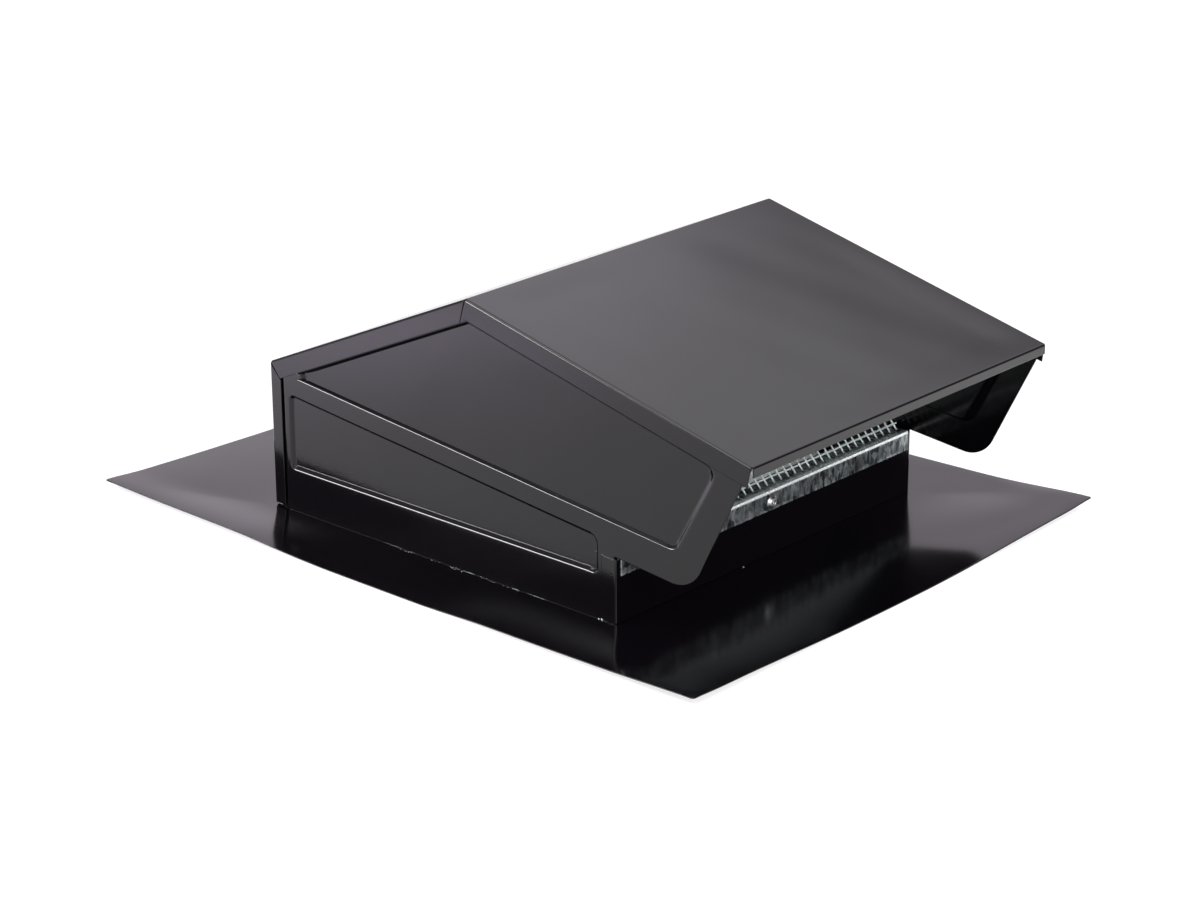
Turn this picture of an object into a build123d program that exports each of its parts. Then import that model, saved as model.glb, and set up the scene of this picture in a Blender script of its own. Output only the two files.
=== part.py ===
from build123d import *
import math
import os

# Roof vent cap: folded black sheet steel on a roof flange, with a bird screen and a back-draught flap.
# Millimetres. +Z up, the open front faces -Y, origin at the middle of the flange's underside.

# Sheets and folds
steel = 0.6                # black sheet
zinc_sheet = 0.5           # galvanised sheet
bend_radius = 1.4          # outside of a fold
lap_gap = 0.05             # between sheets that lie on each other

# Roof flange and throat opening
front_apron = 96.0         # flange ahead of the throat's front wall
rear_apron = 95.6          # flange behind the rear wall
side_apron = 49.5          # flange beside the box
flange_corner_radius = 2.0
throat_setback = 49.0      # opening behind the throat's front wall
throat_rear_rim = 15.4     # opening ahead of the rear wall
throat_side_rim = 6.75     # opening inside the side panels
collar_height = 10.0

# Box and hood, over the folded sheets
box_width = 262.0
box_depth = 267.4
rear_height = 89.2
ridge_back = 108.7         # ridge behind the throat's front wall
ridge_height = 160.5
eave_reach = 91.8          # front edge ahead of the throat's front wall
eave_height = 113.2
lip_height = 5.6
side_lap = 11.5            # hood's laps over the side panels
rear_tab = 9.0             # rear wall's tabs over the side panels
dart = 0.8                 # open slit between two laps
foot_width = 5.0           # turned-in feet that are welded to the flange

# Side panels
nose_reach = 52.0          # lower front corner ahead of the throat's front wall
nose_height = 34.4
nose_radius = 20.0
press_depth = 1.8          # pressed-in panels
press_run = 1.8            # width of their sloped step
press_margin = 0.3         # from a lap's edge to a pressed-in panel
press_corner = 4.0
press_round_corner = 7.0
band_width = 10.4          # flat band between the two pressed-in panels, measured upright
band_rear_height = 73.2    # lower edge of that band at the rear of the lower panel
band_front_height = 49.1   # and at its front
lower_press_bottom = 26.0
lower_press_front = 13.0   # behind the throat's front wall
lower_press_rear = 14.8    # ahead of the rear wall
nose_press_reach = 41.3    # upper panel's lower front corner, ahead of the throat's front wall
eave_press_reach = 70.0    # upper panel's upper front corner

# Throat front, rail and its rivet
throat_front_height = 39.05
throat_tab = 10.5          # end tabs over the side panels
throat_top_flange = 16.0
rail_end_gap = 2.85        # rail's ends inside the side panels' outer faces
rail_face_height = 11.8
rail_ledge = 9.0
rivet_head_radius = 4.2
rivet_head_height = 2.0
rivet_shank_radius = 1.6
rivet_tail_length = 2.5
rivet_drop = 7.05          # rivet's axis below the rail's ledge

# Bird screen
mesh_pitch = 6.35
wire_radius = 0.53
wire_sides = 8
wire_layer_gap = 0.02
screen_clearance = 0.3
screen_setback = 5.5       # screen's foot behind the throat's front wall
first_cross = 4.2          # lowest cross wire above the screen's foot

# Back-draught flap and its hinge
flap_seat_gap = 0.3
flap_lip = 5.0
flap_lip_gap = 0.8         # between the collar and the flap's turned-down lips
rod_radius = 1.6
rod_running_gap = 0.06
rod_setback = 4.7          # rod behind the flap's rear edge
rod_overhang = 5.0         # rod past each bracket
knuckle_length = 28.0
knuckle_spacing = 84.0
bracket_sheet = 1.0
bracket_half_width = 3.4
bracket_foot = 12.0
bracket_inset = 6.0        # brackets inside the throat's side walls
clip_radius = 4.0
clip_thickness = 1.2
clip_gap = 0.3
bead_width = 8.0           # stiffening beads pressed up in the flap
bead_height = 1.5
bead_spacing = 120.0
bead_end_margin = 30.0

# Places that follow from them
flange_width = box_width + 2 * side_apron
flange_depth = front_apron + box_depth + rear_apron
front_y = -flange_depth / 2 + front_apron
rear_y = front_y + box_depth
base_z = steel + lap_gap
lap_x = box_width / 2
panel_x = lap_x - steel - lap_gap
throat_width = 2 * (panel_x - steel - throat_side_rim)
throat_depth = box_depth - throat_setback - throat_rear_rim
throat_front_y = front_y + throat_setback
throat_rear_y = throat_front_y + throat_depth
throat_middle_y = (throat_front_y + throat_rear_y) / 2
rear_corner = Vector(rear_y, rear_height)
ridge = Vector(front_y + ridge_back, ridge_height)
eave = Vector(front_y - eave_reach, eave_height)
rail_top = throat_front_height + lap_gap + zinc_sheet
rail_front_y = front_y - lap_gap - zinc_sheet
rivet_stack = 2 * lap_gap + zinc_sheet + steel
rivet_plane = Plane((0, rail_front_y, rail_top - rivet_drop), x_dir=(1, 0, 0), z_dir=(0, -1, 0))


def turn_left(direction):
    return Vector(-direction.Y, direction.X)


def meet(point_a, direction_a, point_b, direction_b):
    # Where two lines in the side view cross
    across = direction_a.X * direction_b.Y - direction_a.Y * direction_b.X
    between = point_b - point_a
    return point_a + direction_a * ((between.X * direction_b.Y - between.Y * direction_b.X) / across)


def pairs(*points):
    return [(point.X, point.Y) for point in points]


rear_slope = (ridge - rear_corner).normalized()
front_slope = (eave - ridge).normalized()
rear_in = turn_left(rear_slope)
front_in = turn_left(front_slope)
upright = Vector(0, 1)


def under_hood(depth):
    # Corners of the hood's side view, moved inwards by a depth: rear corner, ridge, eave
    rear_line = rear_corner + rear_in * depth
    front_line = ridge + front_in * depth
    return (
        meet(Vector(rear_y - depth, 0), upright, rear_line, rear_slope),
        meet(rear_line, rear_slope, front_line, front_slope),
        meet(front_line, front_slope, Vector(eave.X + depth, 0), upright),
    )


def folded_section(points, thickness, side):
    # Section of a folded sheet in the side view, from its outer line
    with BuildSketch(Plane.YZ) as section:
        with BuildLine():
            FilletPolyline(*points, radius=bend_radius)
            offset(amount=thickness, side=side)
        make_face()
    return section.sketch


def outline(points, plane):
    with BuildSketch(plane) as drawn:
        with BuildLine():
            Polyline(*points, close=True)
        make_face()
    return drawn.sketch


# Roof flange, with its collar turned up round the throat
with BuildPart() as roof_flange:
    with BuildSketch():
        RectangleRounded(flange_width, flange_depth, flange_corner_radius)
    extrude(amount=steel)
    with BuildSketch(Location((0, throat_middle_y, 0))):
        Rectangle(throat_width + 2 * steel, throat_depth + 2 * steel)
    extrude(amount=collar_height)
    with BuildSketch(Location((0, throat_middle_y, 0))):
        Rectangle(throat_width, throat_depth)
    extrude(amount=collar_height, mode=Mode.SUBTRACT)

# Hood top: foot, rear wall, rear slope, front slope and lip in one sheet, with laps over the sides
hood_line = [
    (rear_y - foot_width, base_z),
    (rear_y, base_z),
    (rear_corner.X, rear_corner.Y),
    (ridge.X, ridge.Y),
    (eave.X, eave.Y),
    (eave.X, eave.Y - lip_height),
]
hood_section = folded_section(hood_line, steel, Side.LEFT)
lap_inner = under_hood(side_lap)
dart_foot = ridge + front_in * side_lap
front_lap = pairs(ridge, eave, eave + front_in * side_lap, dart_foot)
dart_back = ridge - rear_slope * dart
dart_back_foot = meet(dart_back, front_in, lap_inner[0], rear_slope)
rear_mitre = Vector(rear_y - rear_tab, rear_height - rear_tab)
rear_lap_end = meet(rear_corner, rear_mitre - rear_corner, lap_inner[0], rear_slope)
rear_lap = pairs(rear_corner, dart_back, dart_back_foot, rear_lap_end)
rear_tab_top = rear_height - dart
rear_wall_tab = [
    (rear_y, base_z),
    (rear_y, rear_tab_top),
    (rear_y - rear_tab, rear_tab_top - rear_tab),
    (rear_y - rear_tab, base_z),
]
with BuildPart() as hood_top:
    extrude(hood_section, amount=lap_x, both=True)
    for lap in (front_lap, rear_lap, rear_wall_tab):
        extrude(outline(lap, Plane.YZ.offset(lap_x - steel)), amount=steel)
        extrude(outline(lap, Plane.YZ.offset(-lap_x)), amount=steel)

# Side panels: nose overhang, turned-in foot and two pressed-in panels
panel_rear, panel_ridge, panel_eave = under_hood(bend_radius)
nose = Vector(front_y - nose_reach, nose_height)
panel_front_y = front_y + steel + lap_gap
nose_root = Vector(panel_front_y, throat_front_height + zinc_sheet + 4 * lap_gap)
panel_foot_end = rear_y - foot_width - lap_gap
panel_points = pairs(
    Vector(panel_foot_end, base_z),
    Vector(panel_foot_end, base_z + bend_radius),
    Vector(panel_rear.X, base_z + bend_radius),
    panel_rear,
    panel_ridge,
    panel_eave,
    nose,
    nose_root,
    Vector(panel_front_y, base_z),
)
press_rear, press_ridge, press_eave = under_hood(side_lap + press_margin)
band_low_rear = Vector(rear_y - lower_press_rear, band_rear_height)
band_low_front = Vector(front_y + lower_press_front, band_front_height)
band_line = (band_low_front - band_low_rear).normalized()
band_high_rear = band_low_rear + upright * band_width
nose_press = meet(band_high_rear, band_line, Vector(front_y - nose_press_reach, 0), upright)
eave_press = meet(press_ridge, front_slope, Vector(front_y - eave_press_reach, 0), upright)
upper_press_rear = meet(band_high_rear, band_line, press_ridge, rear_slope)
upper_press = pairs(upper_press_rear, press_ridge, eave_press, nose_press)
lower_press = pairs(
    band_low_rear,
    band_low_front,
    Vector(band_low_front.X, lower_press_bottom),
    Vector(band_low_rear.X, lower_press_bottom),
)
upper_rounded = (eave_press, nose_press)
lower_rounded = (band_low_front,)
step_slope = press_run / press_depth
skin_run = steel * math.hypot(press_run, press_depth) / press_depth


def pressing(points, rounded, depth, grow):
    # A pressed-in panel as a block, from the panel's outer face inwards, grown all round
    with BuildPart() as block:
        for drop in (0, depth):
            with BuildSketch(Plane.YZ.offset(drop - panel_x)) as face:
                with BuildLine():
                    Polyline(*points, close=True)
                make_face()
                places = pairs(*rounded)
                soft = [v for v in face.vertices() if min(math.dist((v.X, v.Y), p) for p in places) < lap_gap]
                sharp = [v for v in face.vertices() if v not in soft]
                fillet(soft, press_round_corner)
                fillet(sharp, press_corner)
                offset(amount=grow - drop * step_slope)
        loft()
    return block.part


with BuildPart() as left_side_panel:
    with BuildSketch(Plane.YZ.offset(-panel_x)) as blank:
        with BuildLine():
            Polyline(*panel_points, close=True)
        make_face()
        fillet(blank.vertices().sort_by_distance((nose.X, nose.Y, 0))[0], nose_radius)
    extrude(amount=steel)
    with BuildSketch(Plane.XY.offset(base_z)):
        with Locations((-panel_x, panel_front_y)):
            Rectangle(foot_width, panel_foot_end - panel_front_y, align=(Align.MIN, Align.MIN))
    extrude(amount=steel)
    for corners, rounded in ((upper_press, upper_rounded), (lower_press, lower_rounded)):
        add(pressing(corners, rounded, press_depth + steel, skin_run))
        add(pressing(corners, rounded, press_depth, 0), mode=Mode.SUBTRACT)

with BuildPart() as right_side_panel:
    add(mirror(left_side_panel.part, about=Plane.YZ, mode=Mode.PRIVATE))

# Throat front: wall, turned-in top flange and foot, and the end tabs
throat_line = [
    (front_y + throat_top_flange, throat_front_height),
    (front_y, throat_front_height),
    (front_y, base_z),
    (front_y + foot_width, base_z),
]
throat_section = folded_section(throat_line, steel, Side.LEFT)
throat_fold_half = panel_x - foot_width - lap_gap
throat_end_top = throat_front_height - bend_radius
throat_end = [(throat_fold_half, base_z), (lap_x, base_z), (lap_x, throat_end_top), (throat_fold_half, throat_end_top)]
throat_tab_points = [(front_y, base_z), (front_y, throat_front_height)]
throat_tab_points += [(front_y + throat_tab, throat_front_height), (front_y + throat_tab, base_z)]
with BuildPart() as throat_front:
    extrude(outline(throat_end, Plane.XZ.offset(-front_y)), amount=-steel)
    extrude(outline(throat_tab_points, Plane.YZ.offset(lap_x - steel)), amount=steel)
    mirror(about=Plane.YZ)
    extrude(throat_section, amount=throat_fold_half, both=True)
    with BuildSketch(rivet_plane):
        Circle(rivet_shank_radius + lap_gap)
    extrude(amount=-2 * rivet_stack, mode=Mode.SUBTRACT)

# Screen rail: an angle over the top of the throat's front wall
rail_half = panel_x - rail_end_gap
rail_bottom = rail_top - rail_face_height
rail_line = [
    (rail_front_y, rail_bottom),
    (rail_front_y, rail_top),
    (front_y + rail_ledge, rail_top),
]
rail_section = folded_section(rail_line, zinc_sheet, Side.RIGHT)
with BuildPart() as screen_rail:
    extrude(rail_section, amount=rail_half, both=True)
    with BuildSketch(rivet_plane):
        Circle(rivet_shank_radius + lap_gap)
    extrude(amount=-zinc_sheet, mode=Mode.SUBTRACT)

# Blind rivet: domed head, shank and swaged tail, turned about its own axis
dome_radius = (rivet_head_radius ** 2 + rivet_head_height ** 2) / (2 * rivet_head_height)
with BuildPart() as rail_rivet:
    with BuildSketch(Plane(rivet_plane.origin, x_dir=(1, 0, 0), z_dir=(0, 0, 1))):
        with BuildLine():
            Polyline(
                (0, -lap_gap - rivet_head_height),
                (0, rivet_stack + rivet_tail_length),
                (rivet_shank_radius * 1.4, rivet_stack + rivet_tail_length),
                (rivet_shank_radius * 1.4, rivet_stack),
                (rivet_shank_radius, rivet_stack),
                (rivet_shank_radius, -lap_gap),
                (rivet_head_radius, -lap_gap),
            )
            RadiusArc((rivet_head_radius, -lap_gap), (0, -lap_gap - rivet_head_height), dome_radius)
        make_face()
    revolve(axis=Axis(rivet_plane.origin, (0, 1, 0)))

# Bird screen: two layers of straight wires welded square, from the throat front up to the ridge
wire = 2 * wire_radius
screen_ridge = under_hood(steel + screen_clearance + 2 * wire)[1]
screen_foot = Vector(front_y + screen_setback, rail_top + lap_gap)
screen_rise = screen_ridge - screen_foot
screen_up = screen_rise.normalized()
screen_out = turn_left(screen_up)
half_layers = wire_radius + wire_layer_gap / 2
screen_half = panel_x - steel - press_depth - screen_clearance
upright_count = math.floor(2 * screen_half / mesh_pitch)
cross_count = math.floor((screen_rise.length - first_cross) / mesh_pitch)
upright_origin = screen_foot + screen_out * half_layers
upright_plane = Plane(
    (0, upright_origin.X, upright_origin.Y), x_dir=(1, 0, 0), z_dir=(0, screen_up.X, screen_up.Y)
)
with BuildPart() as bird_screen:
    with BuildSketch(upright_plane):
        with GridLocations(mesh_pitch, 1, upright_count, 1):
            RegularPolygon(wire_radius, wire_sides)
    extrude(amount=screen_rise.length)
    cross_places = []
    for row in range(cross_count):
        place = screen_foot - screen_out * half_layers + screen_up * (first_cross + mesh_pitch * row)
        cross_places.append((place.X, place.Y))
    with BuildSketch(Plane.YZ.offset(-screen_half)):
        with Locations(*cross_places):
            RegularPolygon(wire_radius, wire_sides)
    extrude(amount=2 * screen_half)

# Back-draught flap: a shallow lid over the collar, with rolled knuckles at its rear edge
flap_z = collar_height + flap_seat_gap
flap_inner_x = throat_width / 2 + steel + flap_lip_gap
flap_inner_y = throat_front_y - steel - flap_lip_gap
flap_rear_y = throat_rear_y + steel + flap_lip_gap
flap_outer_x = flap_inner_x + zinc_sheet
flap_outer_y = flap_inner_y - zinc_sheet
knuckle_bore = rod_radius + rod_running_gap
knuckle_radius = knuckle_bore + zinc_sheet
rod_y = flap_rear_y + rod_setback
rod_z = flap_z + knuckle_radius
bead_length = throat_depth - 2 * bead_end_margin
with BuildPart() as damper_flap:
    with BuildSketch(Plane.XY.offset(flap_z - flap_lip)):
        with Locations((0, flap_outer_y)):
            Rectangle(2 * flap_outer_x, flap_rear_y - flap_outer_y, align=(Align.CENTER, Align.MIN))
    extrude(amount=flap_lip + zinc_sheet)
    with BuildSketch(Plane.XY.offset(flap_z - flap_lip)):
        with Locations((0, flap_inner_y)):
            Rectangle(2 * flap_inner_x, flap_rear_y - flap_inner_y, align=(Align.CENTER, Align.MIN))
    extrude(amount=flap_lip, mode=Mode.SUBTRACT)
    with BuildSketch(Plane.XY.offset(flap_z)):
        with Locations((0, flap_rear_y)):
            with GridLocations(knuckle_spacing, 1, 3, 1):
                Rectangle(knuckle_length, rod_setback, align=(Align.CENTER, Align.MIN))
    extrude(amount=zinc_sheet)
    for place in (-knuckle_spacing, 0, knuckle_spacing):
        with BuildSketch(Plane((place - knuckle_length / 2, rod_y, rod_z), x_dir=(0, 1, 0), z_dir=(1, 0, 0))):
            Circle(knuckle_radius)
        extrude(amount=knuckle_length)
    with BuildSketch(Plane((-lap_x, rod_y, rod_z), x_dir=(0, 1, 0), z_dir=(1, 0, 0))):
        Circle(knuckle_bore)
    extrude(amount=2 * lap_x, mode=Mode.SUBTRACT)
    with BuildSketch(Plane.XY.offset(flap_z)):
        with Locations((0, throat_middle_y)):
            with GridLocations(bead_spacing, 1, 2, 1):
                SlotOverall(bead_length, bead_width, rotation=90)
    extrude(amount=zinc_sheet + bead_height)
    with BuildSketch(Plane.XY.offset(flap_z)):
        with Locations((0, throat_middle_y)):
            with GridLocations(bead_spacing, 1, 2, 1):
                SlotOverall(bead_length - 2 * zinc_sheet, bead_width - 2 * zinc_sheet, rotation=90)
    extrude(amount=bead_height, mode=Mode.SUBTRACT)

# Hinge rod, the two brackets that carry it and the push-on clips at its ends
bracket_x = throat_width / 2 - bracket_inset
rod_half = bracket_x + rod_overhang
with BuildPart() as hinge_rod:
    with BuildSketch(Plane((-rod_half, rod_y, rod_z), x_dir=(0, 1, 0), z_dir=(1, 0, 0))):
        Circle(rod_radius)
    extrude(amount=2 * rod_half)

with BuildPart() as right_hinge_bracket:
    with BuildSketch(Plane((bracket_x - bracket_sheet, rod_y, 0), x_dir=(0, 1, 0), z_dir=(1, 0, 0))):
        with Locations((0, base_z)):
            Rectangle(2 * bracket_half_width, rod_z - base_z, align=(Align.CENTER, Align.MIN))
        with Locations((0, rod_z)):
            Circle(bracket_half_width)
            Circle(rod_radius + lap_gap, mode=Mode.SUBTRACT)
    extrude(amount=bracket_sheet)
    with BuildSketch(Plane.XY.offset(base_z)):
        with Locations((bracket_x, rod_y)):
            Rectangle(bracket_foot, 2 * bracket_half_width, align=(Align.MAX, Align.CENTER))
    extrude(amount=bracket_sheet)

with BuildPart() as left_hinge_bracket:
    add(mirror(right_hinge_bracket.part, about=Plane.YZ, mode=Mode.PRIVATE))

with BuildPart() as rod_clips:
    for start in (bracket_x + clip_gap, -bracket_x - clip_gap - clip_thickness):
        with BuildSketch(Plane((start, rod_y, rod_z), x_dir=(0, 1, 0), z_dir=(1, 0, 0))):
            Circle(clip_radius)
            Circle(rod_radius + lap_gap, mode=Mode.SUBTRACT)
        extrude(amount=clip_thickness)

pieces = {
    "roof_flange": roof_flange,
    "hood_top": hood_top,
    "left_side_panel": left_side_panel,
    "right_side_panel": right_side_panel,
    "throat_front": throat_front,
    "screen_rail": screen_rail,
    "rail_rivet": rail_rivet,
    "bird_screen": bird_screen,
    "damper_flap": damper_flap,
    "hinge_rod": hinge_rod,
    "left_hinge_bracket": left_hinge_bracket,
    "right_hinge_bracket": right_hinge_bracket,
    "rod_clips": rod_clips,
}
os.makedirs("parts", exist_ok=True)
for name, piece in pieces.items():
    piece.part.label = name
    export_step(piece.part, f"parts/{name}.step")
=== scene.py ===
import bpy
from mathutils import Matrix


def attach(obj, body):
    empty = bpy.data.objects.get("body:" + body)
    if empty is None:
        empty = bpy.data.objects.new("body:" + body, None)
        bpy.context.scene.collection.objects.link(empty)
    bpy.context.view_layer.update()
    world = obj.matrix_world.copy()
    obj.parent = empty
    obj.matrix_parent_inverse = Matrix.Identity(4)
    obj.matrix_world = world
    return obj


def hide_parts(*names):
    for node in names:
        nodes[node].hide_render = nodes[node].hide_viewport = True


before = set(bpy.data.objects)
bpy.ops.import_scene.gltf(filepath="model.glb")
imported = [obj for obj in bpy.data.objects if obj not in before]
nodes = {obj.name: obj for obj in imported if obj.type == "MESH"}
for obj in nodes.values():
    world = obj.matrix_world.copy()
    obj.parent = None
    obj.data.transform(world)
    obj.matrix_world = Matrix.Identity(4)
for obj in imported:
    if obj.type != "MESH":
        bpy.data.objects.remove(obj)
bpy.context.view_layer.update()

import math

import bpy
import numpy as np
from mathutils import Matrix

scene = bpy.context.scene
mm = 0.001

# Sizes shared by the sheets, in millimetres, in the frame of the CAD model; a side view's points are (y, z)
sheet = {
    "steel": 0.6,
    "foldRadius": 1.4,
    "frontY": -133.5,      # outer face of the throat's front wall
    "rearY": 133.9,        # outer face of the rear wall
    "baseZ": 0.65,         # underside of the walls' feet, just above the flange
    "lapX": 131.0,         # outer face of the laps
    "panelX": 130.35,      # outer face of the side panels
    "rearCorner": (133.9, 89.2),
    "ridge": (-24.8, 160.5),
    "eave": (-225.3, 113.2),
    "sideLap": 11.5,
    "rim": 0.3,            # a row of points this close to an edge keeps its shading narrow
    "bendPoints": 7,       # points round a bend of a side view
    "foldRows": 5,         # rows of points round the fold of a lap
    "lapRows": 6,          # rows of points down its flat part
}
frontY, rearY, baseZ = (sheet[key] for key in ("frontY", "rearY", "baseZ"))


# Small tools for shapes

def ease(value, start=0.0, width=1.0):
    # 0 up to the start, 1 from a width further on, and a smooth step between
    share = np.clip((value - start) / width, 0.0, 1.0)
    return share * share * (3.0 - 2.0 * share)


def unit(vector):
    vector = np.asarray(vector, float)
    return vector / np.linalg.norm(vector)


def crossing(pointA, directionA, pointB, directionB):
    # Where two lines of a side view meet
    (yA, zA), (yB, zB) = directionA, directionB
    y, z = np.subtract(pointB, pointA)
    return np.asarray(pointA) + np.asarray(directionA) * (y * zB - z * yB) / (yA * zB - zA * yB)


def ripple(first, second, seed, waves, longest, shortest):
    # The gentle unevenness of thin sheet: a sum of a few sine waves with seeded directions and phases,
    # whose heights go with their lengths
    rng = np.random.default_rng(seed)
    total = np.zeros(np.broadcast(first, second).shape)
    for length in np.geomspace(longest, shortest, waves):
        angle, phase = rng.uniform(0, 2 * math.pi, 2)
        along = first * math.cos(angle) + second * math.sin(angle)
        total += np.sin(2 * math.pi * along / length + phase) * length / longest
    return total / math.sqrt(waves)


def gridFaces(numbers):
    # Quads of a grid of point numbers
    corners = [numbers[:-1, :-1], numbers[1:, :-1], numbers[1:, 1:], numbers[:-1, 1:]]
    return np.stack(corners, axis=-1).reshape(-1, 4)


def ringFaces(rows, columns):
    # Quads of a grid whose rows close into rings
    numbers = np.arange(rows * columns).reshape(rows, columns)
    return gridFaces(np.hstack([numbers, numbers[:, :1]]))


def makeMesh(name, points, faces, material, smooth=True):
    # Points in millimetres; faces is an array of quads
    mesh = bpy.data.meshes.new(name)
    mesh.from_pydata((np.asarray(points, float) * mm).tolist(), [], np.asarray(faces).tolist())
    mesh.polygons.foreach_set("use_smooth", np.full(len(mesh.polygons), smooth))
    mesh.update()
    mesh.validate()
    piece = bpy.data.objects.new(name, mesh)
    scene.collection.objects.link(piece)
    mesh.materials.append(material)
    return piece


def thicken(piece, thickness, even=True):
    # The mesh is the sheet's outer or upper face, and the thickness goes in from it
    solid = piece.modifiers.new("thickness", "SOLIDIFY")
    solid.thickness = thickness * mm
    solid.offset = -1.0
    solid.use_even_offset = even


def stand(piece, body, slot, *replaced):
    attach(piece, body)
    if replaced:
        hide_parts(*replaced)


# Small tools for materials

def srgb(code):
    # Linear colour of an sRGB hex code
    parts = np.array([int(code[i:i + 2], 16) for i in (1, 3, 5)]) / 255.0
    linear = np.where(parts <= 0.04045, parts / 12.92, ((parts + 0.055) / 1.055) ** 2.4)
    return (*linear.tolist(), 1.0)


def addNode(tree, kind, sets=None, links=None):
    # A node with values set, on the socket of that name or number if it has one, and with sockets linked
    node = tree.nodes.new(kind)
    for key, value in (sets or {}).items():
        if isinstance(key, int) or key in node.inputs:
            node.inputs[key].default_value = value
        else:
            setattr(node, key, value)
    for key, source in (links or {}).items():
        tree.links.new(source, node.inputs[key])
    return node


def newMaterial(name, sockets):
    material = bpy.data.materials.new(name)
    material.use_nodes = True
    tree = material.node_tree
    tree.nodes.clear()
    shader = addNode(tree, "ShaderNodeBsdfPrincipled", sockets)
    addNode(tree, "ShaderNodeOutputMaterial", links={"Surface": shader.outputs[0]})
    return material, tree, shader


def objectPlace(tree):
    return addNode(tree, "ShaderNodeTexCoord").outputs["Object"]


def perMillimetre(size):
    # Texture scale for a pattern of that size in millimetres
    return 1.0 / mm / size


def cellTones(tree, vector, scale):
    # Random tones that are even within each cell of a pattern
    cells = addNode(tree, "ShaderNodeTexVoronoi", {"Scale": scale}, {"Vector": vector})
    return addNode(tree, "ShaderNodeSeparateColor", links={"Color": cells.outputs["Color"]}).outputs


def toneRamp(tree, share, settings):
    # Colour from dark to pale over a span of shares
    ramp = addNode(tree, "ShaderNodeValToRGB", links={"Fac": share})
    for end, place, tone in zip(ramp.color_ramp.elements, settings["toneSpan"], ("dark", "pale")):
        end.position = place
        end.color = srgb(settings[tone])
    return ramp.outputs[0]


def mapSpan(tree, value, fromSpan, toSpan, interpolation="LINEAR"):
    # A value carried from one span to another and held at its ends
    sets = {"interpolation_type": interpolation, "From Min": fromSpan[0], "From Max": fromSpan[1],
            "To Min": toSpan[0], "To Max": toSpan[1]}
    return addNode(tree, "ShaderNodeMapRange", sets, {"Value": value}).outputs[0]


def mathOf(tree, operation, first, second):
    return addNode(tree, "ShaderNodeMath", {"operation": operation}, {0: first, 1: second}).outputs[0]


# Baked black enamel on steel: smooth, glossy, with faint orange peel
enamel = {
    "colour": "#050406",
    "roughness": 0.13,
    "ior": 1.41,
    "peelSize": 3.0,
    "peelDetail": 2.0,
    "peelHeight": 0.004,
    "peelStrength": 0.25,
}
blackEnamel, tree, shader = newMaterial("black_enamel", {
    "Base Color": srgb(enamel["colour"]),
    "Roughness": enamel["roughness"],
    "IOR": enamel["ior"],
})
peelSets = {"Scale": perMillimetre(enamel["peelSize"]), "Detail": enamel["peelDetail"]}
peel = addNode(tree, "ShaderNodeTexNoise", peelSets, {"Vector": objectPlace(tree)})
bumpSets = {"Strength": enamel["peelStrength"], "Distance": enamel["peelHeight"] * mm}
bump = addNode(tree, "ShaderNodeBump", bumpSets, {"Height": peel.outputs[0]})
tree.links.new(bump.outputs[0], shader.inputs["Normal"])

# Hot-dip galvanised sheet: narrow spangles that differ in tone and gloss, and blotches that differ in tone;
# with a painted highlight, a pale colour, along the rail's front fold
galvanised = {
    "dark": "#2c3134",
    "pale": "#989ea0",
    "toneSpan": (0.2, 0.85),
    "metallic": 0.8,
    "roughness": (0.2, 0.38),
    "spangle": (1.6, 5.5, 5.5),
    "blotch": 4.6,
    "blotchShare": 0.55,
    # pale colour of the painted highlight along the rail's front fold
    "foldHighlight": "#dce1e1",
    "foldHighlightZ": (37.7, 38.3),       # no painted highlight at the first height, fullest at the second
    "foldHighlightY": (-130.4, -132.4),   # the same from behind to the front
    "foldHighlightShare": 0.85,
}
galvanisedSteel, tree, shader = newMaterial("galvanised_steel", {"Metallic": galvanised["metallic"]})
place = objectPlace(tree)
stretch = tuple(perMillimetre(size) for size in galvanised["spangle"])
drawn = addNode(tree, "ShaderNodeMapping", {"Scale": stretch}, {"Vector": place})
grain = cellTones(tree, drawn.outputs[0], 1.0)
blotch = cellTones(tree, place, perMillimetre(galvanised["blotch"]))
mottleSets = {"Factor": galvanised["blotchShare"]}
mottle = addNode(tree, "ShaderNodeMix", mottleSets, {"A": grain[0], "B": blotch[0]})
tone = toneRamp(tree, mottle.outputs[0], galvanised)
gloss = mapSpan(tree, grain[1], (0.0, 1.0), galvanised["roughness"])
parted = addNode(tree, "ShaderNodeSeparateXYZ", links={"Vector": place}).outputs
# Painted highlight: the pale colour is mixed in along the rail's front fold, above a height and towards the
# front
high = mapSpan(tree, parted["Z"], [z * mm for z in galvanised["foldHighlightZ"]], (0.0, 1.0))
ahead = mapSpan(tree, parted["Y"], [y * mm for y in galvanised["foldHighlightY"]], (0.0, galvanised["foldHighlightShare"]))
paintedHighlight = mathOf(tree, "MULTIPLY", high, ahead)
# A mix of colours has its factor on socket 0, the colours on 6 and 7, and gives the result on 2
highlightSets = {"data_type": "RGBA", 7: srgb(galvanised["foldHighlight"])}
mixed = addNode(tree, "ShaderNodeMix", highlightSets, {0: paintedHighlight, 6: tone})
tree.links.new(mixed.outputs[2], shader.inputs["Base Color"])
tree.links.new(gloss, shader.inputs["Roughness"])

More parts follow.
